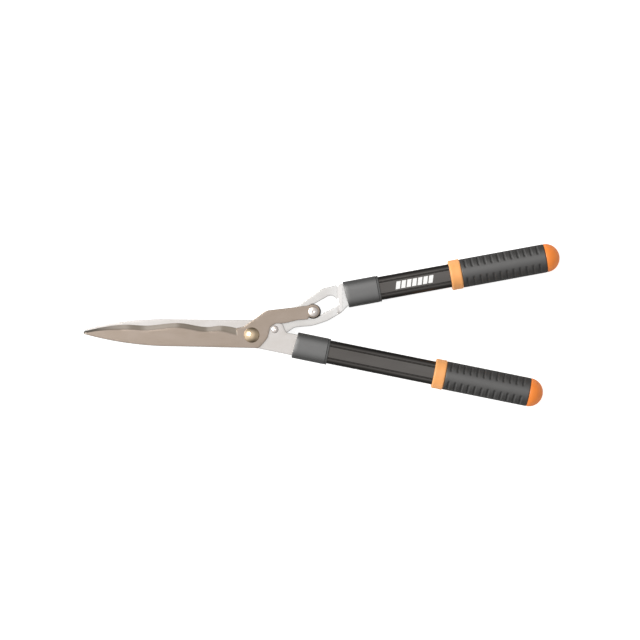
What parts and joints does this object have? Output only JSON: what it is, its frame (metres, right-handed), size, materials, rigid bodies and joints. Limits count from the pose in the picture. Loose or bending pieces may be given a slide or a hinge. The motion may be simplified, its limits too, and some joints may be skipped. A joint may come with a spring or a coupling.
{
  "type": "hedge shears",
  "caption": "Compound-action hedge shears: wavy-edged blades, slotted lever drive and two tubular handles with soft grips.",
  "frame": {"origin": "on the blade pivot's axis, at the bolt's end face, flush with the outer face of the pivot nut", "axes": "+Z out of the front, towards the bolt's domed head; blade tips towards -X, handles towards +X; upper handle on the +Y side"},
  "size_m": [0.5793, 0.1979, 0.037],
  "materials": {
    "blade_front": "satin, warm grey coated blade steel",
    "blade_rear": "bright satin blade steel",
    "lever_steel": "bright satin stamped steel",
    "bolt_brass": "polished, yellow plated",
    "bush_bronze": "sintered bronze",
    "fastener_steel": "bright zinc plated",
    "nylon_black": "glass-filled nylon",
    "ferrule_plastic": "fine moulded grain, soft sheen",
    "tube_anodised": "black anodised, satin",
    "core_nylon": "natural nylon",
    "orange_plastic": "smooth moulded, half gloss",
    "grip_rubber": "soft moulded rubber, fine grain"
  },
  "bodies": {
    "rear_half": {"rear_blade": "blade_rear", "pivot_bolt": "bolt_brass", "blade_spacer": "fastener_steel", "nut_washer": "fastener_steel", "pivot_nut": "fastener_steel", "fulcrum_rivet": "fastener_steel", "fulcrum_washer": "fastener_steel", "lower_ferrule": "ferrule_plastic", "lower_tube": "tube_anodised", "lower_core": "core_nylon", "lower_tang_pin": "fastener_steel", "lower_collar": "orange_plastic", "lower_grip": "grip_rubber", "lower_end_cap": "orange_plastic"},
    "front_half": {"front_blade": "blade_front", "blade_bush": "bush_bronze", "drive_pin": "fastener_steel", "drive_bush": "nylon_black", "drive_washer": "nylon_black"},
    "lever_handle": {"upper_lever": "lever_steel", "fulcrum_bush": "bush_bronze", "upper_ferrule": "ferrule_plastic", "upper_tube": "tube_anodised", "upper_core": "core_nylon", "upper_tang_pin": "fastener_steel", "upper_collar": "orange_plastic", "upper_grip": "grip_rubber", "upper_end_cap": "orange_plastic"}
  },
  "joints": [
    {"name": "handle_fulcrum", "type": "hinge", "parent": "rear_half", "child": "lever_handle", "pos_m": [0.028, 0.0068, 0.0058], "axis": [0, 0, 1], "range_deg": [0, 60]},
    {"name": "blade_pivot", "type": "hinge", "parent": "rear_half", "child": "front_half", "pos_m": [0, 0, 0.0134], "axis": [0, 0, 1], "range_deg": [0, 45]}
  ],
  "couplings": [
    {"joint": "blade_pivot", "follows": "handle_fulcrum", "ratio": 0.75}
  ]
}
